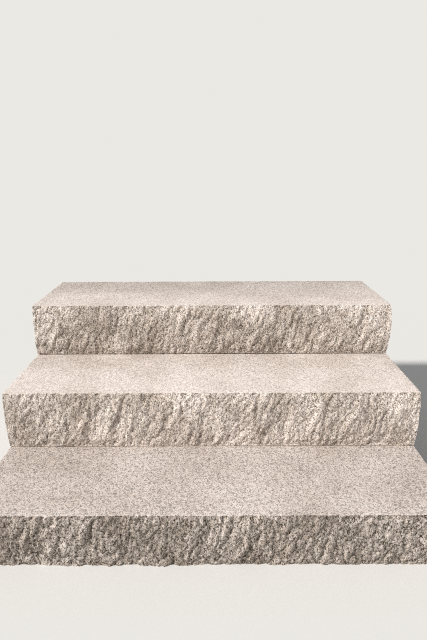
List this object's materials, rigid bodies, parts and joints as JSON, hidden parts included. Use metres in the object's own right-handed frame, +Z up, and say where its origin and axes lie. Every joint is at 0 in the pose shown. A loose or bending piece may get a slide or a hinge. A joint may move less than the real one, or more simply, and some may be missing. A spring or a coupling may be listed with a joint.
{
  "type": "outdoor stone steps",
  "caption": "Low flight of outdoor steps: long granite blocks with flamed treads and rock-faced risers, overlapped on thin mortar beds over a split granite backing.",
  "frame": {"origin": "at ground level, in the middle of the flight's plan", "axes": "+X to the right along the treads, +Y up the flight and away from the reader, +Z up"},
  "size_m": [1.2264, 0.987, 0.501],
  "materials": {
    "step_granite": "pinkish grey granite, flamed on the treads, split on the risers and ends",
    "mortar": "thin raked bed joint, dark and dirty",
    "backing_granite": "the same granite, split on the faces that show and sawn between"
  },
  "bodies": {
    "root": {"bottom_step": "step_granite", "middle_step": "step_granite", "top_step": "step_granite", "middle_bed": "mortar", "top_bed": "mortar", "backing_header_1": "backing_granite", "backing_header_2": "backing_granite", "backing_header_3": "backing_granite", "backing_header_4": "backing_granite", "backing_stretcher_1": "backing_granite", "backing_stretcher_2": "backing_granite", "backing_stretcher_3": "backing_granite"}
  },
  "joints": []
}
